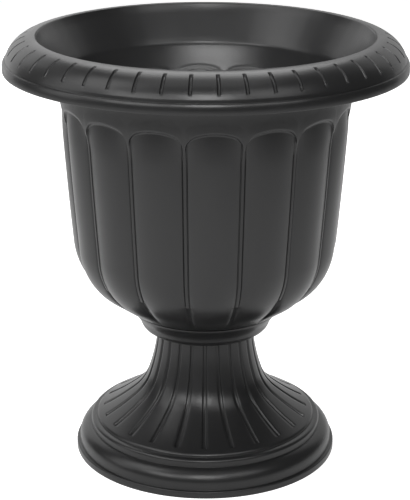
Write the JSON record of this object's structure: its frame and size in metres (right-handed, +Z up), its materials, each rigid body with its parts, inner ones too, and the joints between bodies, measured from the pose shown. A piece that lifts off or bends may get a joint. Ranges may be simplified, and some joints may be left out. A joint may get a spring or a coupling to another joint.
{
  "type": "urn planter",
  "caption": "Classical urn planter: fluted bowl with a rolled, slotted rim on a hollow fluted pedestal with a moulded round foot, and stoppers in its drain holes.",
  "frame": {"origin": "centre of the pedestal's foot, on the ground", "axes": "+Z up the urn's axis; the side seen in the picture faces -Y"},
  "size_m": [0.4059, 0.406, 0.445],
  "materials": {
    "bowl": "satin black moulded polypropylene with a fine grain",
    "pedestal": "satin black moulded polypropylene with a fine grain",
    "drain_plug": "soft black rubber"
  },
  "bodies": {
    "pedestal": {"pedestal": "pedestal"},
    "bowl": {"bowl": "bowl"},
    "plug_1": {"drain_plug_1": "drain_plug"},
    "plug_2": {"drain_plug_2": "drain_plug"},
    "plug_3": {"drain_plug_3": "drain_plug"},
    "plug_4": {"drain_plug_4": "drain_plug"}
  },
  "joints": [
    {"name": "bowl_lift", "type": "slide", "parent": "pedestal", "child": "bowl", "axis": [0, 0, 1], "range_m": [0, 0.03]},
    {"name": "plug_1_pull", "type": "slide", "parent": "bowl", "child": "plug_1", "axis": [0, 0, 1], "range_m": [0, 0.012]},
    {"name": "plug_2_pull", "type": "slide", "parent": "bowl", "child": "plug_2", "axis": [0, 0, 1], "range_m": [0, 0.012]},
    {"name": "plug_3_pull", "type": "slide", "parent": "bowl", "child": "plug_3", "axis": [0, 0, 1], "range_m": [0, 0.012]},
    {"name": "plug_4_pull", "type": "slide", "parent": "bowl", "child": "plug_4", "axis": [0, 0, 1], "range_m": [0, 0.012]}
  ]
}
